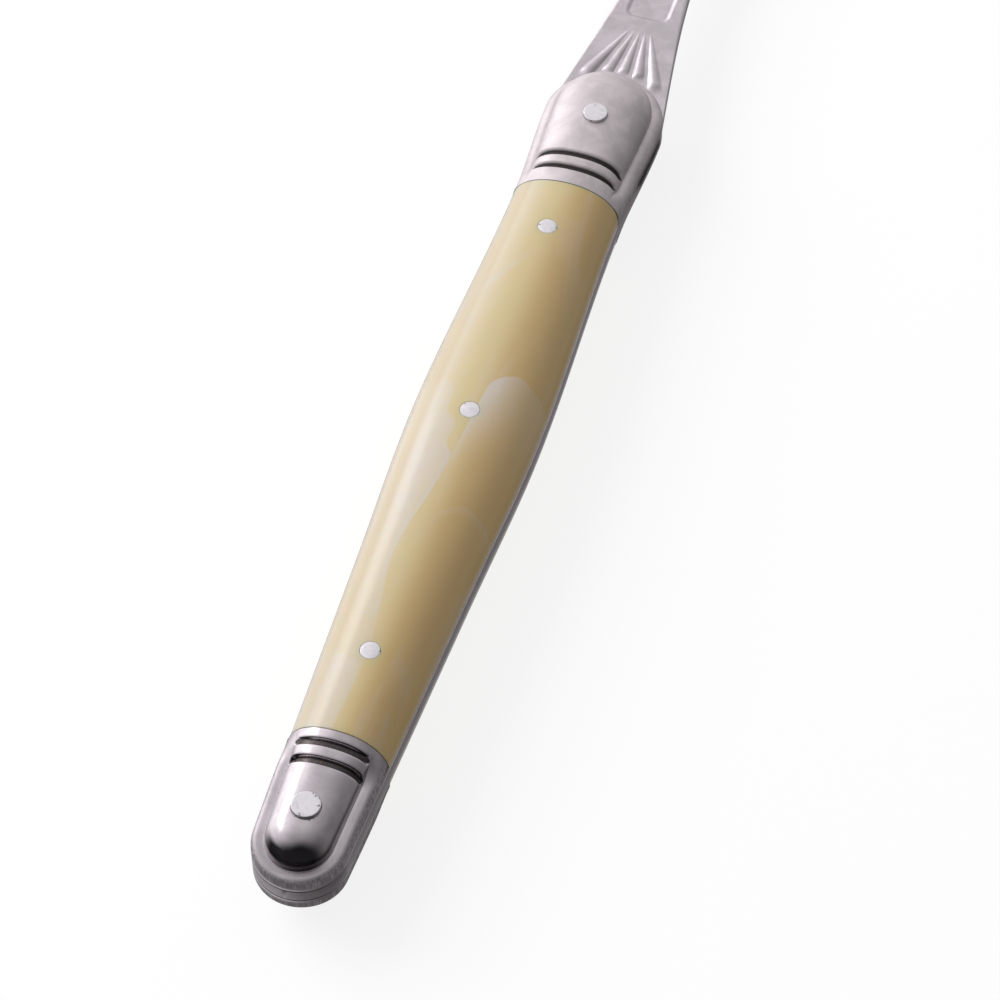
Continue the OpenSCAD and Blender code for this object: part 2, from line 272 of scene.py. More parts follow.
class Shader:
    """A node tree built one call at a time. Each call returns an output to pass on."""

    def __init__(self, tree):
        self.tree = tree
        tree.nodes.clear()

    def add(self, kind, inputs, output=0, **settings):
        node = self.tree.nodes.new(kind)
        for key, value in settings.items():
            setattr(node, key, value)
        for key, value in inputs.items():
            if isinstance(value, bpy.types.NodeSocket):
                self.tree.links.new(value, node.inputs[key])
            else:
                node.inputs[key].default_value = value
        return node.outputs[output]

    def math(self, operation, a, b=0.0, c=0.0, clamp=False):
        return self.add("ShaderNodeMath", {0: a, 1: b, 2: c}, operation=operation,
                        use_clamp=clamp)

    def step(self, value, start, end, low=0.0, high=1.0, kind="SMOOTHSTEP"):
        """A step of value from low at start to high at end."""
        return self.add(
            "ShaderNodeMapRange",
            {"Value": value, "From Min": start, "From Max": end, "To Min": low, "To Max": high},
            interpolation_type=kind)

    def mix(self, factor, a, b, blend="MIX"):
        """Two colours mixed."""
        node = self.tree.nodes.new("ShaderNodeMix")
        node.data_type, node.blend_type = "RGBA", blend
        for index, value in ((0, factor), (6, a), (7, b)):
            if isinstance(value, bpy.types.NodeSocket):
                self.tree.links.new(value, node.inputs[index])
            else:
                node.inputs[index].default_value = value
        return node.outputs[2]

    def place(self, scale, turn=(0, 0, 0), shift=(0, 0, 0)):
        """The piece's own coordinates in millimetres, scaled, turned and shifted."""
        own = self.add("ShaderNodeTexCoord", {}, output="Object")
        return self.add(
            "ShaderNodeMapping",
            {"Vector": own, "Scale": [s / MM for s in scale], "Rotation": turn, "Location": shift})

    def noise(self, vector, scale=1.0, detail=2.0, rough=0.5, distort=0.0):
        return self.add("ShaderNodeTexNoise", {
            "Vector": vector, "Scale": scale, "Detail": detail, "Roughness": rough,
            "Distortion": distort})

    def layer(self, name):
        """A value kept on each point of the mesh."""
        return self.add("ShaderNodeAttribute", {}, output="Fac", attribute_name=name)

    def axes(self, vector):
        """The three parts of a vector."""
        return [self.add("ShaderNodeSeparateXYZ", {0: vector}, output=i) for i in range(3)]

    def graph(self, value, points):
        """A smooth curve through (value, result) points, level beyond its two ends."""
        (a, b), (low, high) = [(min(axis), max(axis)) for axis in zip(*points)]
        share = self.step(value, a, b, kind="LINEAR")
        curve = self.tree.nodes.new("ShaderNodeFloatCurve")
        line = curve.mapping.curves[0]
        placed = [((x - a) / (b - a), (y - low) / (high - low)) for x, y in points]
        line.points[0].location, line.points[1].location = placed[0], placed[-1]
        for point in placed[1:-1]:
            line.points.new(*point)
        curve.mapping.update()
        self.tree.links.new(share, curve.inputs["Value"])
        return self.math("MULTIPLY_ADD", curve.outputs["Value"], high - low, low)

    def finish(self, surface, kind="ShaderNodeOutputMaterial"):
        self.tree.links.new(surface, self.tree.nodes.new(kind).inputs["Surface"])


def linear(r, g, b):
    """A colour given as 0-255 on a screen, as linear light."""
    def channel(v):
        v = v / 255
        return v / 12.92 if v <= 0.04045 else ((v + 0.055) / 1.055) ** 2.4
    return (channel(r), channel(g), channel(b), 1.0)


def new_material(name):
    material = bpy.data.materials.new(name)
    material.use_nodes = True
    return material, Shader(material.node_tree)


def steel(name, tone, rough, cloud, scratch, grain, grain_turn=0.0, striae=0.0, shade_and_seam=0.0):
    """Stainless steel. tone is its colour; rough its roughness; cloud how mottled its polish is;
    scratch and grain how strong its hairlines and its grain are; striae the strength of the
    grinding marks across a bolster's flange; shade_and_seam how dark the painted shade in its
    grooves and crease, and its joint line, are."""
    material, s = new_material(name)
    mottle = s.noise(s.place((0.35, 0.35, 0.35)), detail=5, rough=0.6, distort=0.4)
    fine = s.noise(s.place((1.6, 1.6, 1.6), shift=(7, 3, 1)), detail=6, rough=0.7)
    grain_map = s.noise(s.place((0.9, 22, 22), turn=(0, 0, grain_turn)), detail=3, rough=0.6)
    lines_a = s.noise(s.place((0.5, 17, 9), turn=(0, 0, 0.45)), detail=1)
    lines_b = s.noise(s.place((13, 0.45, 9), turn=(0, 0, 0.3), shift=(5, 0, 2)), detail=1)
    hair = s.math("MAXIMUM", s.step(lines_a, 0.69, 0.74), s.step(lines_b, 0.71, 0.76))

    bright = tuple(min(1.0, c * 1.05) for c in tone[:3]) + (1.0,)
    dull = tuple(c * 0.86 for c in tone[:3]) + (1.0,)
    colour = s.mix(s.step(mottle, 0.35, 0.65), dull, bright)
    roughness = s.math("ADD", s.step(mottle, 0.3, 0.7, rough - cloud / 2, rough + cloud / 2),
                       s.math("MULTIPLY", hair, scratch * 0.25))
    roughness = s.math("ADD", roughness, s.step(fine, 0.3, 0.7, -cloud / 4, cloud / 4))
    height = s.math("ADD", s.math("MULTIPLY", grain_map, grain),
                    s.math("MULTIPLY", hair, -scratch))
    height = s.math("ADD", height, s.math("MULTIPLY", fine, cloud))

    # Grinding marks across the flange, and a matter ground band along its outer part
    metal = 1.0
    if striae:
        along = s.layer("around")
        across = s.layer("profile")
        marks = s.add("ShaderNodeCombineXYZ", {"X": along, "Y": s.math("MULTIPLY", across, 0.7)})
        ridges = s.noise(marks, scale=3.4, detail=4, rough=0.75)
        band = s.math("MULTIPLY", s.step(across, 0.95, 1.05), s.step(across, 1.75, 1.35))
        depth = s.math("MULTIPLY", band, striae)
        dark = s.mix(s.step(ridges, 0.42, 0.62), tuple(c * 0.5 for c in tone[:3]) + (1.0,),
                     bright)
        colour = s.mix(s.math("MULTIPLY", depth, 0.8), colour, dark)
        ledge = s.math("MULTIPLY", s.step(across, 0.95, 1.05), s.step(across, 1.98, 1.9))
        ground = s.step(across, 1.85, 1.5, 0.42, 0.62)
        metal = s.math("MULTIPLY_ADD", depth, -0.6, 1)
        roughness = s.math("MAXIMUM", roughness, s.math("MULTIPLY", ledge, ground))
        height = s.math("ADD", height, s.math("MULTIPLY", s.math("MULTIPLY", ridges, depth), 5))

    # Painted shade, black to brown, in the grooves and the crease, and a dark line along the joint
    if shade_and_seam:
        cut = s.layer("cut")
        shade_mottle = s.noise(s.place((3, 9, 9)), detail=4, rough=0.7)
        amount = s.math("MULTIPLY", s.step(cut, 0.25, 0.8), shade_and_seam, clamp=True)
        shade_colour = s.mix(s.step(shade_mottle, 0.52, 0.72), linear(38, 34, 36), linear(122, 98, 66))
        colour = s.mix(amount, colour, shade_colour)
        roughness = s.math("ADD", roughness, s.math("MULTIPLY", amount, 0.12))

    bump = s.add("ShaderNodeBump", {"Strength": 1.0, "Distance": 0.004 * MM, "Height": height})
    s.finish(s.add("ShaderNodeBsdfPrincipled", {
        "Base Color": colour, "Metallic": metal, "Roughness": roughness, "Normal": bump}))
    return material


# ---------------------------------------------------------------- scales

SCALE_EDGE = 0.4
SCALE_POWER = 2.1
SCALE_FOOT = HALF_TANG + SCALE_EDGE
SCALE_BREAK = 0.05


def scale_height(x, y):
    """Height of the crowned surface of a scale."""
    across = np.minimum(np.abs(y) / np.maximum(half_width(x) - SCALE_INSET, SCALE_INSET), 1)
    lift = (1 - across ** SCALE_POWER) ** (1 / SCALE_POWER)
    return SCALE_FOOT + (curve(CROWN_KNOTS, x) - SCALE_FOOT) * lift


def scale(name, material, pins, side):
    ends = [(REAR_JOINT, 0.3, 0.02), (FRONT_JOINT, 0.3, 0.02)]
    x = stations(REAR_JOINT, FRONT_JOINT, 0.7, ends)
    from_end = np.minimum(x - REAR_JOINT, FRONT_JOINT - x)
    ease = edge_break(from_end, SCALE_BREAK)
    half = half_width(x) - SCALE_INSET - ease
    rise = curve(CROWN_KNOTS, x) - SCALE_FOOT - ease
    angle = np.linspace(0, math.pi, 121)
    arc_y = np.sign(np.cos(angle)) * np.abs(np.cos(angle)) ** (2 / SCALE_POWER)
    arc_z = np.abs(np.sin(angle)) ** (2 / SCALE_POWER)
    low_y = np.array([0.988, 0.996, 1, 1])
    low_z = HALF_TANG + np.array([0, 0.02, 0.08, 0.2])
    rings = []
    for i in range(len(x)):
        y = np.concatenate([low_y, arc_y, -low_y[::-1]]) * half[i]
        z = np.concatenate([low_z, SCALE_FOOT + arc_z * rise[i], low_z[::-1]])
        rings.append(np.stack([np.full_like(y, x[i]), y, z], -1))
    points, faces = loft(np.array(rings))
    aside = points[:, 1] / half_width(points[:, 0])
    piece = make_piece(name + "_acrylic", mirrored(points, side), faces, material,
                       name, {"aside": aside})
    for pin_x, pin_r in pins:
        drill(piece, pin_x, pin_r)


# ---------------------------------------------------------------- bolsters

FLANGE_W = 1.3
WALL_Z = HALF_TANG + 0.35
FRONT_FLANGE_RISE = 1.1
REAR_FLANGE_RISE = 1.9
DOME_POWER = 2.3
FRONT_FLANGE_POWER = 2
REAR_FLANGE_POWER = 5
GROOVE_HALF_W = 0.375
GROOVE_DEPTH = 0.5
GROOVE_PITCH = 2.1
GROOVE_RUNOUT = 0.4
GROOVE_TIP = 0.1
REAR_GROOVES = [REAR_JOINT - 1.55, REAR_JOINT - 1.55 - GROOVE_PITCH]
FRONT_GROOVES = [FRONT_JOINT + 2.75, FRONT_JOINT + 2.75 + GROOVE_PITCH]
BOLSTER_BREAK = 0.05
FILLET = 0.05

# Strength and width of the painted shade in the crease, whose width is in bolster_profile's
# places, and of the dark line along the joint
CREASE_SHADE, CREASE_SHADE_W = 0.35, 0.05
JOINT_DARK, JOINT_DARK_W = 0.8, 0.14

# How far from the joint a bolster takes to reach its own height from the scales', and the step
# down to it at the joint
FLUSH_RUN = 4
FLUSH_GAP = 0.02

# Height of the crease between flange and dome. It climbs to the scales' surface at the joint,
# and the rear one falls away round the butt
CREASE_DROP = 0.1
CREASE_RUN = 4
BUTT_FALL = 0.6


def joint_crease(x):
    return float(scale_height(x, half_width(x) - FLANGE_W)) - CREASE_DROP


FRONT_CREASE = [
    (FRONT_JOINT, joint_crease(FRONT_JOINT), -0.7),
    (FRONT_JOINT + CREASE_RUN, WALL_Z + FRONT_FLANGE_RISE, 0),
    (HANDLE, WALL_Z + FRONT_FLANGE_RISE, 0),
]
REAR_CREASE = [
    (0, WALL_Z + REAR_FLANGE_RISE - BUTT_FALL, 0.1),
    (REAR_JOINT - CREASE_RUN, WALL_Z + REAR_FLANGE_RISE, 0),
    (REAR_JOINT, joint_crease(REAR_JOINT), 0.5),
]


def groove_share(x, grooves, half):
    """How deep the filed grooves are at x, as a share of their full depth. half is half their
    width."""
    return sum(1 / (1 + (np.abs(x - g) / half) ** 7) for g in grooves)


def bolster_edge(joint, centre, direction, radius, grooves):
    """Outer edge of a bolster from one end of its joint round to the other: x, y and spine x."""
    turn = math.pi / 2 - (0 if direction > 0 else math.atan(FLANK_SLOPE))
    end = centre + direction * radius * math.cos(turn)
    closer = [(g, 1.0, 0.05) for g in grooves] + [(joint, 0.2, 0.02)]
    if direction > 0:
        x = stations(joint, end, 0.35, closer)
    else:
        x = stations(end, joint, 0.35, closer)[::-1]
    y = half_width(x)
    spine = direction * np.minimum(direction * x, direction * centre)
    angle = np.linspace(turn, -turn, 150)[1:-1]
    arc_x = centre + direction * radius * np.cos(angle)
    return (np.concatenate([x, arc_x, x[::-1]]),
            np.concatenate([y, radius * np.sin(angle), -y[::-1]]),
            np.concatenate([spine, np.full_like(angle, centre), spine[::-1]]))


def bolster_profile(rise, flange_power):
    """Rows up a bolster's side: inset, share of the dome's reach, base height, share of the
    flange's climb, share of the dome's rise, how far the grooves reach into the row, and its
    place (0-1 wall, 1-2 flange, 2-3 dome)."""
    rows = [(0.05, 1, HALF_TANG, 0, 0, 0, 0)]
    for t in np.linspace(0, 1, 5):
        rows.append((0, 1, HALF_TANG + 0.05 + (WALL_Z - HALF_TANG - 0.05) * t, 0, 0, 0, t))
    wide = FLANGE_W - FILLET
    for t in np.linspace(0, 1, 27)[1:]:
        a = t * math.pi / 2
        rows.append((wide * (1 - math.cos(a) ** (2 / flange_power)), 1, WALL_Z,
                     math.sin(a) ** (2 / flange_power), 0, 0, 1 + 0.95 * t))
    for t in np.linspace(0, 1, 6)[1:]:
        a = t * math.pi / 2
        rows.append((wide + FILLET * math.sin(a), 1, WALL_Z + FILLET * (1 - math.cos(a)), 1, 0, 1,
                     1.95 + 0.05 * t))
    start = math.asin((FILLET / rise) ** (DOME_POWER / 2))
    for a in np.linspace(start, math.radians(88.8), 44)[1:]:
        rows.append((FLANGE_W, math.cos(a) ** (2 / DOME_POWER), WALL_Z, 1,
                     math.sin(a) ** (2 / DOME_POWER), 1, 2 + a / (math.pi / 2)))
    return np.array(rows)


def bolster(name, slot, material, joint, centre, direction, radius, crease_knots, flange_power,
            grooves, top, pin_x, pin_r, side):
    x, y, spine = bolster_edge(joint, centre, direction, radius, grooves)
    crease = curve(crease_knots, x)
    rows = bolster_profile(top - crease.min(), flange_power)
    from_joint = np.abs(x - joint)
    ease = edge_break(from_joint, BOLSTER_BREAK)
    flush = 1 - smooth(0, FLUSH_RUN, from_joint)
    reach = np.hypot(x - spine, y)
    rings, groove_shade = [], []
    for inset, part, base, climb, lift, bite, _ in rows:
        full = float(smooth(0, GROOVE_RUNOUT, lift))
        share = groove_share(x, grooves, GROOVE_HALF_W * (GROOVE_TIP + (1 - GROOVE_TIP) * full))
        deep = share * GROOVE_DEPTH * full
        f = (reach - inset - deep * bite - ease) * part / reach
        row_x, row_y = spine + (x - spine) * f, y * f
        sunk = (deep + ease) * lift
        z = base + climb * (crease - WALL_Z) + lift * (top - crease) - sunk
        level = scale_height(row_x, row_y) - FLUSH_GAP - sunk
        rings.append(np.stack([row_x, row_y, z + flush * climb * (level - z)], -1))
        # Painted shade in the grooves
        groove_shade.append(share * bite * min(1, 3 * full))
    points, faces = loft(np.array(rings))
    step = np.hypot(np.diff(x), np.diff(y))
    around = np.concatenate([[0], np.cumsum(step)])
    place = rows[:, 6][:, None]
    # Painted shade along the crease between flange and dome, and a dark line along the joint
    crease_shade = np.exp(-((place - 2) / CREASE_SHADE_W) ** 2) * CREASE_SHADE
    seam = np.exp(-(from_joint / JOINT_DARK_W) ** 2) * JOINT_DARK * smooth(0.9, 1.3, place)
    size = (len(rows), len(x))
    layers = {
        "around": np.broadcast_to(around, size),
        "profile": np.broadcast_to(place, size),
        "cut": np.maximum(np.maximum(groove_shade, crease_shade), seam),
    }
    piece = make_piece(name + "_steel", mirrored(points, side), faces, material, name,
                       layers)
    drill(piece, pin_x, pin_r)


# ---------------------------------------------------------------- blade and tang

PANEL_START = SHOULDER_X + 17.4
PANEL_END = WAIST_X + 12
PANEL_HALF = 2.7
PANEL_CORNER = 1.2
PANEL_DEPTH = 0.2
FAN_X = SHOULDER_X + 19
FAN_FLUTES = 5
FAN_SPREAD = math.radians(9.5)
FAN_SINK = 0.15
FAN_GAP = 0.9
FAN_CONE = 0.085
FAN_RISE = 0.04
BLADE_HALF_T = 0.7
TIP_HALF_T = 0.45
EDGE_BREAK = 0.12
BLADE_ROUND_W = 2.2
BLADE_ROUND_SHARE = 0.86


def panel_relief(x, y):
    """Depth of the sunk panel on the neck, as a height below the face."""
    near = np.hypot(np.maximum(PANEL_START + PANEL_CORNER - x, 0),
                    np.maximum(np.abs(y) - PANEL_HALF + PANEL_CORNER, 0)) - PANEL_CORNER
    near = np.maximum(near, np.abs(y) - PANEL_HALF)
    far = np.hypot(np.maximum(x - PANEL_END, 0), y) - PANEL_HALF
    outside = np.where(x < (PANEL_START + PANEL_END) / 2, near, far)
    return -PANEL_DEPTH * (1 - smooth(-0.5, 0.06, outside))


def fan_relief(x, y):
    """Height of the fan of flutes above the face."""
    reach = FAN_X - SHOULDER_X
    rim = SHOULDER_R + FAN_GAP
    height = np.zeros_like(x)
    for i in range(FAN_FLUTES):
        a = (i - (FAN_FLUTES - 1) / 2) * FAN_SPREAD
        far = reach * math.cos(a) - math.sqrt(rim ** 2 - (reach * math.sin(a)) ** 2)
        along = (FAN_X - x) * math.cos(a) - y * math.sin(a)
        across = (FAN_X - x) * math.sin(a) + y * math.cos(a)
        radius = FAN_CONE * np.maximum(along, 0)
        axis = -FAN_SINK - (FAN_CONE - FAN_RISE) * along
        flute = axis + np.sqrt(np.maximum(radius ** 2 - across ** 2, 0))
        flute = flute * (1 - smooth(far - 1, far, along))
        height = np.maximum(height, np.where(np.abs(across) < radius, flute, 0))
    return height


def half_thickness(x):
    taper = HALF_TANG + (BLADE_HALF_T - HALF_TANG) * smooth(PANEL_END - 2, WAIST_X + 24, x)
    return taper + (TIP_HALF_T - BLADE_HALF_T) * smooth(TIP_X - 6, TOTAL, x)


def blank(material, bores):
    """The steel blank. Its rings stand closer together over the flutes and the panel's walls."""
    butt = BUTT_R * (1 - np.cos(np.linspace(math.radians(2), math.pi / 2, 40)))
    tip = TIP_X + TIP_LEN * np.sin(np.linspace(0, math.radians(88.2), 90))
    x = np.concatenate([
        butt,
        stations(BUTT_R, SHOULDER_X, 1.0)[1:],
        stations(SHOULDER_X, TIP_X, 0.6, [
            (SHOULDER_X + 13, 5.2, 0.09), (PANEL_START, 0.7, 0.035),
            (PANEL_START + 1, 1.2, 0.09), (PANEL_END + 1.5, 1.8, 0.09)])[1:],
        tip[1:],
    ])
    w = half_width(x)
    fall = np.gradient(w, x)
    thick = half_thickness(x)
    soft = smooth(SHOULDER_X + 8, FLARE_END, x)
    soft_w = EDGE_BREAK + (BLADE_ROUND_W - EDGE_BREAK) * soft
    soft_h = EDGE_BREAK + (thick * BLADE_ROUND_SHARE - EDGE_BREAK) * soft

    split = np.minimum(PANEL_HALF, 0.7 * w)[:, None]
    gap = np.minimum(0.12, 0.05 * w)[:, None]
    inner = np.linspace(0, 1, 46)[None, :] * (split - gap)
    wall = split + gap * np.array([-0.6, -0.3, 0, 0.35])[None, :]
    turn = np.linspace(0, math.pi / 2, 34)[None, :]
    outer = split + gap + (w[:, None] - split - gap) * np.sin(turn)
    side = np.concatenate([inner, wall, outer], 1)
    y = np.concatenate([side[:, ::-1], -side[:, 1:]], 1)

    grid_x = np.broadcast_to(x[:, None], y.shape)
    from_edge = (w[:, None] - np.abs(y)) / np.hypot(1, fall)[:, None]
    part = np.clip(1 - from_edge / soft_w[:, None], 0, 1)
    face = thick[:, None] - soft_h[:, None] * (1 - np.sqrt(1 - part ** 2))
    top = face + panel_relief(grid_x, y) + fan_relief(grid_x, y)
    upper = np.stack([grid_x, y, top], -1)
    lower = np.stack([grid_x, y, -face], -1)[:, ::-1]
    rings = np.concatenate([upper, lower], 1)
    points, faces = loft(rings)
    piece = make_piece("blade_and_tang_steel", points, faces, material,
                       "blade_and_tang")
    for x, radius in bores:
        drill(piece, x, radius)


# ---------------------------------------------------------------- pins

FLAT_HEAD_BREAK = 0.1
CROWNED_HEAD_BREAK = 0.04


def pin_place(node):
    """Where a pin stands, measured from the butt, and its radius and half length."""
    low, high = box_mm(node)
    return (low[0] + high[0]) / 2 - BUTT_AT, (high[0] - low[0]) / 2, high[2] - MIDDLE_AT


def pin(node, material, crown=None):
    """A rod with broken edges. Its heads are flat, or follow the crown of the scales."""
    x0, radius, top = pin_place(node)
    edge = FLAT_HEAD_BREAK if crown is None else CROWNED_HEAD_BREAK
    turn = np.linspace(0, math.pi / 2, 7)
    head_r = np.concatenate([radius * np.array([0.25, 0.5, 0.75]),
                             radius - edge + edge * np.sin(turn)])
    drop = np.concatenate([np.zeros(3), edge * (1 - np.cos(turn))])
    angle = np.linspace(0, 2 * np.pi, 72, endpoint=False)
    rings = []
    for r, d in zip(head_r, drop):
        px, py = x0 + r * np.cos(angle), r * np.sin(angle)
        level = np.full_like(px, top) if crown is None else crown(px, py)
        rings.append(np.stack([px, py, level - d], -1))
    rings = np.array(rings + [mirrored(ring, -1) for ring in rings[::-1]])
    points, faces = loft(rings)
    rim = np.hypot(points[:, 0] - x0, points[:, 1]) / radius
    make_piece(node + "_steel", points, faces, material, node, {"rim": rim})


def pin_material():
    material, s = new_material("pin_steel_matte")
    pitted = s.noise(s.place((2.2, 2.2, 2.2)), detail=6, rough=0.7)
    spots = s.noise(s.place((1.3, 1.3, 1.3), shift=(3, 1, 0)), detail=5, rough=0.65)
    rim = s.layer("rim")
    nick = s.math("MULTIPLY", s.step(spots, 0.6, 0.66), s.step(rim, 0.35, 0.95))
    colour = s.mix(s.step(pitted, 0.35, 0.7), linear(242, 239, 242), linear(232, 229, 233))
    colour = s.mix(s.math("MULTIPLY", nick, 0.7), colour, linear(70, 66, 66))
    roughness = s.step(pitted, 0.3, 0.7, 0.42, 0.56)
    height = s.math("ADD", s.math("MULTIPLY", pitted, 1.4), s.math("MULTIPLY", nick, -4))
    bump = s.add("ShaderNodeBump", {"Strength": 1.0, "Distance": 0.012 * MM, "Height": height})
    s.finish(s.add("ShaderNodeBsdfPrincipled", {
        "Base Color": colour, "Metallic": 1.0, "Roughness": roughness, "Normal": bump}))
    return material


# ---------------------------------------------------------------- acrylic

GOLDEN = (234, 215, 166)
SHADED_GOLDEN = (225, 195, 138)
MILK_AND_SHEEN = (232, 222, 208)
GAP_SHADE = (150, 112, 70)

# Edge of the round milky lobe beside the middle pin, as (y, x), and the edges of the milky half
# that runs on from there to the butt and of the wisp in front of it, as (x, y), all in
# millimetres from the butt and midline
LOBE_EDGE = [(-7.4, 61.9), (-6.7, 62.9), (-5.1, 63.8), (-3.6, 64.3), (-2.6, 63.9), (-1.7, 63.2),
             (-1, 62.2), (-0.7, 60), (-0.2, 53.8), (0.1, 51.7), (0.5, 46.5), (1.25, 42)]
WISP_EDGE = [(70, 6.8), (75.6, 4), (77.1, 2.75), (79.1, 1.7), (80.8, 0.63), (83, -1.4)]
MILKY_EDGE = [(14, 0.8), (18, 0.5), (24, 0.05), (33, 1), (38, 1.7), (42, 1.3), (46.5, 0.5),
              (51.7, 0.1), (52.4, 0.5), (53.4, 0.96), (55.2, 0.8), (56.3, 1), (57.5, 2.1),
              (60, 2.45), (61.2, 2.9), (61.9, 4.6), (62.2, 9)]


def milky_swirls_and_sheen(s, aside, along, flip):
    """How milky the acrylic is, with a painted sheen on its lit flank. aside is 0 on the midline
    and 1 or -1 on the flanks.
    """
    own = s.place((1, flip, 1), shift=(-BUTT_AT - along, 0, 0))
    drift = s.noise(s.place((0.25, 0.3, 0.3)), detail=3)
    x, y = s.axes(own)[:2]
    y = s.math("MULTIPLY_ADD", s.math("SUBTRACT", drift, 0.5), 0.2, y)

    # The round lobe, which fades away from its edge
    inside = s.math("SUBTRACT", s.graph(y, LOBE_EDGE), x)
    lobe = s.math("MULTIPLY", s.step(inside, -0.1, 0.2), s.step(x, 46, 58))
    lobe = s.math("MULTIPLY", lobe, s.step(inside, 13, 0.2, 0.05, 1))
    lobe = s.math("MULTIPLY", lobe, s.step(y, -5.5, -0.8, 0.2, 0.95))

    # The milky half, and the bright ribbon along its edge
    past = s.math("SUBTRACT", y, s.graph(x, MILKY_EDGE))
    half = s.math("MULTIPLY", s.step(past, -0.1, 0.2), s.step(x, 8, 56, 0.4, 0.9))
    half = s.math("MULTIPLY", half, s.step(past, 0, 2.4, 0.75, 1))
    ribbon = s.math("MULTIPLY", s.step(past, -0.06, 0.02), s.step(past, 0.5, 0.25))
    ribbon = s.math("MULTIPLY", ribbon, s.math("MULTIPLY", s.step(x, 30, 46), s.step(x, 54, 52)))
    milk_and_sheen = s.math("MAXIMUM", lobe, half)
    # Painted sheen: paler and milkier towards the lit flank
    milk_and_sheen = s.math("MAXIMUM", milk_and_sheen, s.step(aside, 0.12, 0.75, 0, 0.7))
    milk_and_sheen = s.math("MULTIPLY_ADD", ribbon, 0.3, milk_and_sheen)

    # A faint arc well behind the lobe's edge
    arc = s.math("SUBTRACT", inside, 18.2)
    arc = s.math("MULTIPLY", s.step(arc, -0.12, 0.02), s.step(arc, 1.4, 0.1))
    milk_and_sheen = s.math("MULTIPLY_ADD", arc, 0.15, milk_and_sheen)

    # The wisp ahead of the middle pin
    wisp = s.math("SUBTRACT", y, s.graph(x, WISP_EDGE))
    wisp = s.math("MULTIPLY", s.step(wisp, -0.25, 0.05), s.step(wisp, 1.5, 0.1))
    wisp = s.math("MULTIPLY", wisp, s.math("MULTIPLY", s.step(x, 69, 73), s.step(x, 83, 79)))
    milk_and_sheen = s.math("MULTIPLY_ADD", wisp, 0.3, milk_and_sheen)

    # The patch beside the rear bolster
    behind = s.math("SUBTRACT", s.math("MULTIPLY_ADD", y, 0.35, 24.2), x)
    patch = s.math("MULTIPLY", s.step(behind, -0.1, 0.25), s.step(y, 0.25, 0.6))
    milk_and_sheen = s.math("MULTIPLY_ADD", patch, 0.3, milk_and_sheen)

    wisps = s.noise(s.place((0.05, 0.3, 0.25), turn=(0, 0, 0.12 * flip), shift=(2.7, 1, 0)),
                    detail=3, distort=1.0)
    return s.math("ADD", milk_and_sheen, s.step(wisps, 0.52, 0.72, 0, 0.2), clamp=True)


def acrylic_material(name, along=0.0, flip=1):
    """Horn-coloured acrylic with milky swirls, a painted sheen that pales its lit flank, a painted
    darker line along that flank where the sheen breaks, and painted shade that deepens its other
    flank. along and flip move and turn over the swirls."""
    material, s = new_material(name)
    aside = s.math("MULTIPLY", s.layer("aside"), flip)
    milk_and_sheen = milky_swirls_and_sheen(s, aside, along, flip)
    # Painted shade: a darker line along the lit flank, where the sheen breaks between two
    # reflections
    line = s.math("MULTIPLY", s.step(aside, 0.56, 0.68), s.step(aside, 0.9, 0.76))
    milk_and_sheen = s.math("MULTIPLY", milk_and_sheen, s.math("MULTIPLY_ADD", line, -0.45, 1))
    # Painted shade: a deeper gold towards the shadowed flank
    golden_and_shade = s.mix(s.step(aside, 0.1, -0.4), linear(*GOLDEN), linear(*SHADED_GOLDEN))
    colour = s.mix(milk_and_sheen, golden_and_shade, linear(*MILK_AND_SHEEN))
    colour = s.mix(s.math("MULTIPLY", line, 0.14), colour, linear(*GAP_SHADE))

    specks = s.noise(s.place((2.6, 2.6, 2.6)), detail=3, rough=0.6)
    roughness = s.step(specks, 0.3, 0.75, 0.07, 0.12)
    orange_peel = s.noise(s.place((0.5, 0.9, 0.9)), detail=2)
    bump = s.add("ShaderNodeBump", {
        "Strength": 1.0, "Distance": 0.008 * MM, "Height": orange_peel})
    s.finish(s.add("ShaderNodeBsdfPrincipled", {
        "Base Color": colour, "Roughness": roughness, "Normal": bump, "IOR": 1.49,
        "Subsurface Weight": 0.5, "Subsurface Radius": (1.0, 0.5, 0.2),
        "Subsurface Scale": 1.4 * MM}))
    return material


# ---------------------------------------------------------------- the object

BLADE_STEEL = steel("blade_steel_satin", (0.67, 0.62, 0.65, 1), 0.38, 0.05, 0.25, 1.2)
FRONT_STEEL = steel("bolster_steel_satin", (0.74, 0.685, 0.696, 1), 0.56, 0.06, 0.3, 0.3,
                    striae=0.25, shade_and_seam=0.9)
REAR_STEEL = steel("bolster_steel_polished", (0.59, 0.545, 0.572, 1), 0.1, 0.04, 0.25, 0.15,
                   striae=1.0, shade_and_seam=0.9)
PIN_STEEL = pin_material()
ACRYLICS = {
    "upper": acrylic_material("scale_acrylic_upper"),
    "lower": acrylic_material("scale_acrylic_lower", along=-13, flip=-1),
}

BORE_GAP = 0.035
SCALE_PINS = ["scale_pin_front", "scale_pin_middle", "scale_pin_rear"]


def bores(nodes):
    """Centre and radius of the bore round each of these pins."""
    return [(x, radius + BORE_GAP) for x, radius, _ in map(pin_place, nodes)]


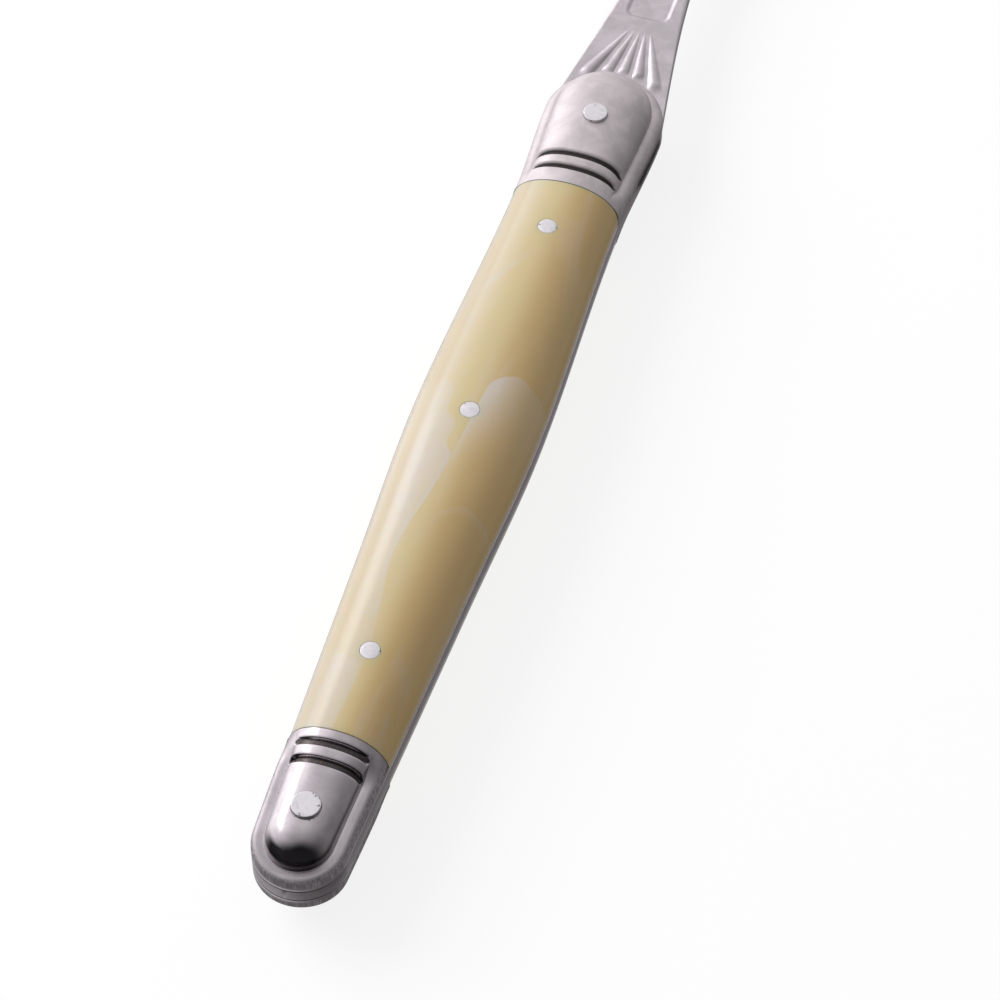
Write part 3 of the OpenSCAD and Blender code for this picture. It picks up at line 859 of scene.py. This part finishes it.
blank(BLADE_STEEL, bores(SCALE_PINS + ["front_bolster_pin", "rear_bolster_pin"]))
pin("front_bolster_pin", PIN_STEEL)
pin("rear_bolster_pin", PIN_STEEL)
for node in SCALE_PINS:
    pin(node, PIN_STEEL, scale_height)
for end, turned in (("upper", 1), ("lower", -1)):
    bolster("front_bolster_" + end, "bolster_steel", FRONT_STEEL, FRONT_JOINT, SHOULDER_X, 1,
            SHOULDER_R, FRONT_CREASE, FRONT_FLANGE_POWER, FRONT_GROOVES, FRONT_TOP,
            *bores(["front_bolster_pin"])[0], turned)
    bolster("rear_bolster_" + end, "bolster_steel", REAR_STEEL, REAR_JOINT, BUTT_R, -1,
            BUTT_R, REAR_CREASE, REAR_FLANGE_POWER, REAR_GROOVES, REAR_TOP,
            *bores(["rear_bolster_pin"])[0], turned)
    scale("scale_" + end, ACRYLICS[end], bores(SCALE_PINS), turned)


# ---------------------------------------------------------------- floor, light and camera

# The floor is in metres and the shade flag and hood in millimetres. The shade flag, a painted
# reflection of the table's shadow, lies from FLAG_BEHIND behind the shoulder, between FLAG_FAR and
# FLAG_NEAR of the midline
FLOOR_HALF = 3.0
FLAG_BEHIND, FLAG_LONG = 2.5, 8.5
FLAG_NEAR, FLAG_FAR = -3, -14
FLAG_LEVEL = 0.02
HOOD_R = 45

# Strengths: how solid the hood gets, how dark the surround gets behind the camera, its strip
# light, and the level that diffuse surfaces and the camera see
HOOD_BLACK = 0.975
SURROUND_DARK = 0.4
STRIP_LIGHT = 2.0
AMBIENT, BACKDROP = 0.32, 0.95


def sheet(name, x_range, y_range, level, material):
    """A flat rectangle, in metres."""
    (x0, x1), (y0, y1) = x_range, y_range
    mesh = bpy.data.meshes.new(name)
    mesh.from_pydata([(x0, y0, level), (x1, y0, level), (x1, y1, level), (x0, y1, level)],
                     [], [(0, 1, 2, 3)])
    return add_object(name, mesh, material)


def black_cloth(s):
    weave = s.noise(s.place((2, 2, 2)), detail=2)
    return s.mix(weave, (0.01, 0.01, 0.011, 1), (0.02, 0.02, 0.022, 1))


def show_in_reflections_only(piece):
    piece.visible_camera = piece.visible_diffuse = False
    piece.visible_shadow = piece.visible_transmission = False


def floor():
    """A pale lit table. It sends no light back to the object: reflections see the surround, below
    the horizon too."""
    material, s = new_material("floor_pale")
    fine = s.noise(s.place((0.01, 0.01, 0.01)), detail=3)
    colour = s.mix(fine, (0.22, 0.22, 0.222, 1), (0.24, 0.24, 0.242, 1))
    s.finish(s.add("ShaderNodeBsdfPrincipled", {
        "Base Color": colour, "Roughness": 0.8, "Specular IOR Level": 0.1,
        "Emission Color": (1, 1, 1, 1), "Emission Strength": 0.83}))
    span = (-FLOOR_HALF, FLOOR_HALF)
    piece = sheet("floor", span, span, 0, material)
    piece.visible_glossy = False
    piece.visible_diffuse = False


def shade_flag():
    """A small black card beside the shoulder that only reflections see, standing in for the shadow
    on the table there. It darkens the tang's side with a painted reflection of that shadow."""
    material, s = new_material("shade_flag_black")
    s.finish(s.add("ShaderNodeBsdfPrincipled", {
        "Base Color": black_cloth(s), "Roughness": 0.9, "Specular IOR Level": 0.1}))
    x = BUTT_AT + SHOULDER_X - FLAG_BEHIND
    piece = sheet("shade_flag", (x * MM, (x + FLAG_LONG) * MM), (FLAG_FAR * MM, FLAG_NEAR * MM),
                  FLAG_LEVEL * MM, material)
    show_in_reflections_only(piece)


def backward(s, x, y):
    """How far a direction turns back towards the camera's side of the studio."""
    return s.math("ADD", s.math("SUBTRACT", 0.45, x), s.step(y, 0.3, -0.3, -0.1, 0.15))


def hood():
    """A black hood round the butt that only reflections see. It is solid on the camera's side and
    thins out to nothing, and gives the rear bolster its dark end."""
    material, s = new_material("hood_black")
    own = s.add("ShaderNodeTexCoord", {}, output="Object")
    x, y, z = s.axes(s.add("ShaderNodeVectorMath", {0: own}, operation="NORMALIZE"))
    low_left = s.math("MULTIPLY", s.step(y, 0.4, 0.7), s.step(z, 0.5, 0, 0, 0.45))
    back = s.math("ADD", backward(s, x, y), low_left)
    solid = s.step(back, 0.5, 1.2, 0, HOOD_BLACK)
    solid = s.math("MULTIPLY", solid, s.step(z, -0.79, -0.74))
    black = s.add("ShaderNodeBsdfDiffuse", {"Color": black_cloth(s)})
    clear = s.add("ShaderNodeBsdfTransparent", {})
    s.finish(s.add("ShaderNodeMixShader", {0: solid, 1: clear, 2: black}))
    mesh = bpy.data.meshes.new("hood")
    shell = bmesh.new()
    bmesh.ops.create_icosphere(shell, subdivisions=4, radius=HOOD_R * MM)
    shell.to_mesh(mesh)
    shell.free()
    piece = add_object("hood", mesh, material)
    piece.location = ((BUTT_AT + BUTT_R) * MM, 0, (MIDDLE_AT + WALL_Z) * MM)
    show_in_reflections_only(piece)


def world():
    """Studio surround for reflections: a softbox on the left, greyer to the right and darker
    behind the camera. Diffuse surfaces get an even ambient light in its place."""
    made = bpy.data.worlds.new("studio")
    bpy.context.scene.world = made
    made.use_nodes = True
    s = Shader(made.node_tree)
    way = s.add("ShaderNodeTexCoord", {}, output="Generated")
    x, y, z = s.axes(way)

    # Above the horizon: brighter to the left (+Y), with a strip light in it
    above = s.math("ADD", s.step(y, -1, 0.2, 0.3, 0.78), s.step(y, 0.15, 0.8, 0, 0.95))
    strip = s.math("MULTIPLY", s.step(y, 0.59, 0.7), s.step(y, 0.86, 0.74))
    strip = s.math("MULTIPLY", strip, s.math("MULTIPLY", s.step(x, -0.1, 0.4),
                                             s.step(x, 0.62, 0.55)))
    above = s.math("MULTIPLY_ADD", strip, STRIP_LIGHT, above)

    # Below it, and how far it has taken over: sooner on the left
    below = s.step(y, -0.9, 0.8, 0.05, 0.7)
    share = s.math("MAXIMUM", s.step(z, -0.1, -0.6),
                   s.math("MULTIPLY", s.step(z, 0.05, -0.55), s.step(y, 0.3, 0.6)))
    level = s.math("ADD", s.math("MULTIPLY", above, s.math("SUBTRACT", 1, share)),
                   s.math("MULTIPLY", below, share))
    dark = s.step(backward(s, x, y), -0.25, 0.6, 0, SURROUND_DARK)
    dark = s.math("MULTIPLY", dark, s.step(z, -0.78, -0.66))
    level = s.math("MULTIPLY", level, s.math("SUBTRACT", 1, dark))

    glossy, direct = [s.add("ShaderNodeLightPath", {}, output=name)
                      for name in ("Is Glossy Ray", "Is Camera Ray")]
    plain = s.math("ADD", AMBIENT, s.math("MULTIPLY", direct, BACKDROP - AMBIENT))
    level = s.math("ADD", s.math("MULTIPLY", level, glossy),
                   s.math("MULTIPLY", plain, s.math("SUBTRACT", 1, glossy)))
    light = s.add("ShaderNodeBackground", {"Color": (1, 0.985, 1, 1), "Strength": level})
    s.finish(light, "ShaderNodeOutputWorld")


def softbox(name, at, aim, width, height, power):
    """A soft light that diffuse surfaces see and reflections don't."""
    light = bpy.data.lights.new(name, "AREA")
    light.shape, light.size, light.size_y, light.energy = "RECTANGLE", width, height, power
    lamp = add_object(name, light)
    lamp.location = at
    lamp.rotation_euler = (Vector(aim) - Vector(at)).to_track_quat("-Z", "Y").to_euler()
    lamp.visible_glossy = False


# The photograph's viewpoint: the eye in metres, its heading from +X, its pitch below the horizon,
# and the lens over a sensor of this width
EYE = (-0.25985, -0.0727, 0.2959)
HEADING, PITCH = math.radians(17.77), math.radians(52.64)
LENS, SENSOR = 124.49, 36.0


def camera():
    """The photograph's viewpoint: from the butt end, looking down along the handle."""
    ahead = Vector((math.cos(HEADING) * math.cos(PITCH), math.sin(HEADING) * math.cos(PITCH),
                    -math.sin(PITCH)))
    right = Vector((math.sin(HEADING), -math.cos(HEADING), 0))
    up = right.cross(ahead)
    lens = bpy.data.cameras.new("camera")
    lens.lens, lens.sensor_width = LENS, SENSOR
    lens.clip_start, lens.clip_end = 0.01, 20
    eye = add_object("camera", lens)
    turn = Matrix((right, up, -ahead)).transposed()
    eye.matrix_world = Matrix.Translation(Vector(EYE)) @ turn.to_4x4()
    bpy.context.scene.camera = eye


floor()
shade_flag()
hood()
world()
softbox("softbox_left", at=(0.2, 0.8, 0.63), aim=(0, 0, 0), width=0.9, height=0.7, power=8.6)
camera()
bpy.context.scene.view_settings.view_transform = "Standard"
